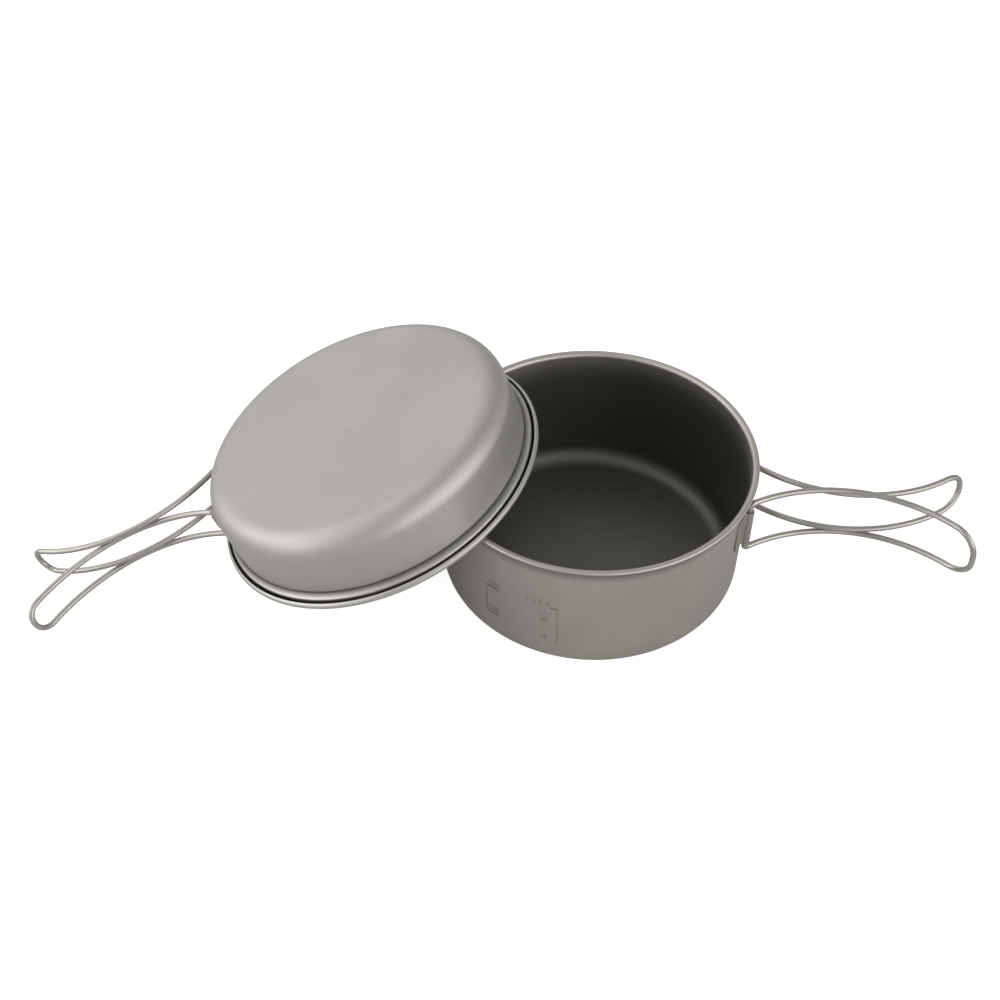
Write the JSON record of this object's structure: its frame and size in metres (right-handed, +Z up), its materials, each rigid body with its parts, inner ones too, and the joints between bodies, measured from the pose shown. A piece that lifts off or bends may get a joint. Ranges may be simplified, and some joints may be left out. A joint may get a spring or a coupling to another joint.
{
  "type": "camping cook pot set",
  "caption": "Thin-walled cooking pot with a frying pan that doubles as its lid, each with a folding wire handle.",
  "frame": {"origin": "centre of the pot's base, on the surface that it stands on", "axes": "+Z up, +X along the middle of the pot's handle, +Y towards the rear loops"},
  "size_m": [0.441, 0.1733, 0.1076],
  "materials": {
    "pot_sheet": "bead-blasted titanium sheet, satin",
    "pan_sheet": "bead-blasted titanium sheet, satin",
    "bracket_sheet": "blasted titanium strip, spot welded",
    "handle_wire": "drawn titanium wire, satin"
  },
  "bodies": {
    "pot": {"pot_body": "pot_sheet", "pot_bracket": "bracket_sheet"},
    "pot_loop_front": {"pot_handle_front": "handle_wire"},
    "pot_loop_rear": {"pot_handle_rear": "handle_wire"},
    "pan": {"pan_body": "pan_sheet", "pan_bracket": "bracket_sheet"},
    "pan_loop_front": {"pan_handle_front": "handle_wire"},
    "pan_loop_rear": {"pan_handle_rear": "handle_wire"}
  },
  "joints": [
    {"name": "pot_front_fold", "type": "hinge", "parent": "pot", "child": "pot_loop_front", "pos_m": [0.07363, -0.01458, 0.0474], "axis": [0, 0, -1], "range_deg": [0, 139]},
    {"name": "pot_rear_fold", "type": "hinge", "parent": "pot", "child": "pot_loop_rear", "pos_m": [0.07363, 0.01458, 0.0474], "axis": [0, 0, 1], "range_deg": [0, 133]},
    {"name": "pan_lift", "type": "slide", "parent": "pot", "child": "pan", "axis": [0, 0, 1], "range_m": [0, 0.15]},
    {"name": "pan_front_fold", "type": "hinge", "parent": "pan", "child": "pan_loop_front", "pos_m": [-0.17098, -0.04588, 0.04039], "axis": [-0.3399, -0.0508, 0.9391], "range_deg": [0, 122]},
    {"name": "pan_rear_fold", "type": "hinge", "parent": "pan", "child": "pan_loop_rear", "pos_m": [-0.1772, -0.01919, 0.03958], "axis": [0.3399, 0.0508, -0.9391], "range_deg": [0, 149.5]}
  ]
}
